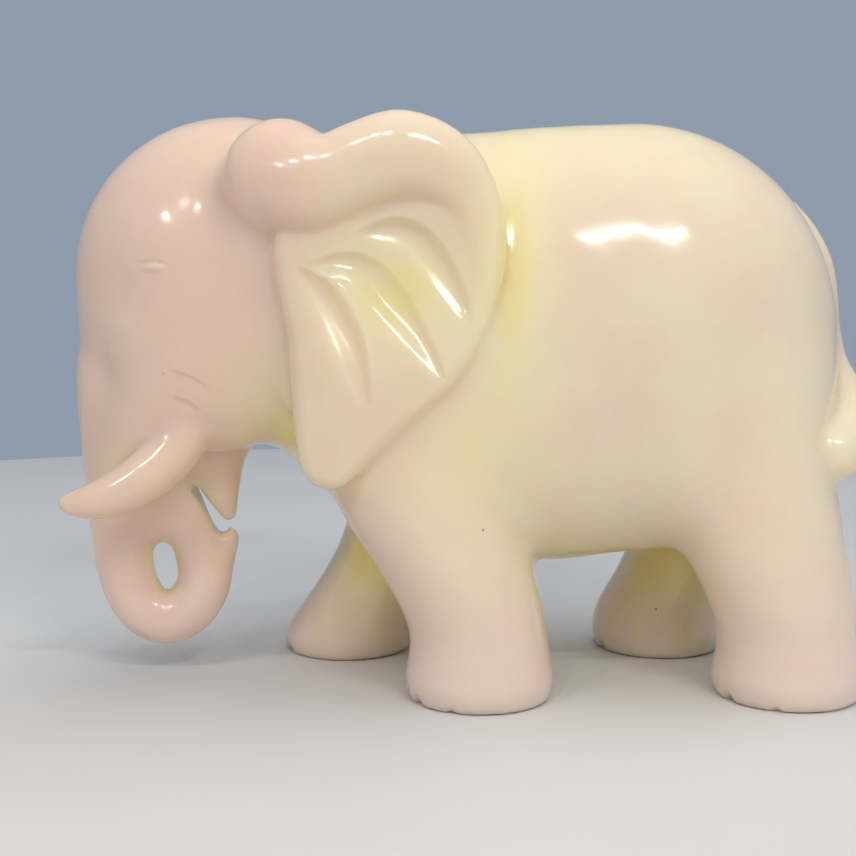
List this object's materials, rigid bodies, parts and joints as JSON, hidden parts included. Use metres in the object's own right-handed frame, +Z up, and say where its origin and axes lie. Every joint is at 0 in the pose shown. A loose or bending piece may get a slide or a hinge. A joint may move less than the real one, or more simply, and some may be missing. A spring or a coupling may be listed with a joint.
{
  "type": "carved stone elephant figure",
  "caption": "Standing elephant carved from one block of polished pale jade, trunk curled under and ears fluted, striding on flat soles as a shelf or table ornament.",
  "frame": {"origin": "centre of the bounding box in plan, on the plane of the four soles", "axes": "the elephant faces -X, its left side is -Y, +Z is up"},
  "size_m": [0.2366, 0.106, 0.1635],
  "materials": {
    "jade": "polished, slightly translucent, pinkish cream with yellow-green in the hollows"
  },
  "bodies": {
    "root": {"elephant": "jade"}
  },
  "joints": []
}
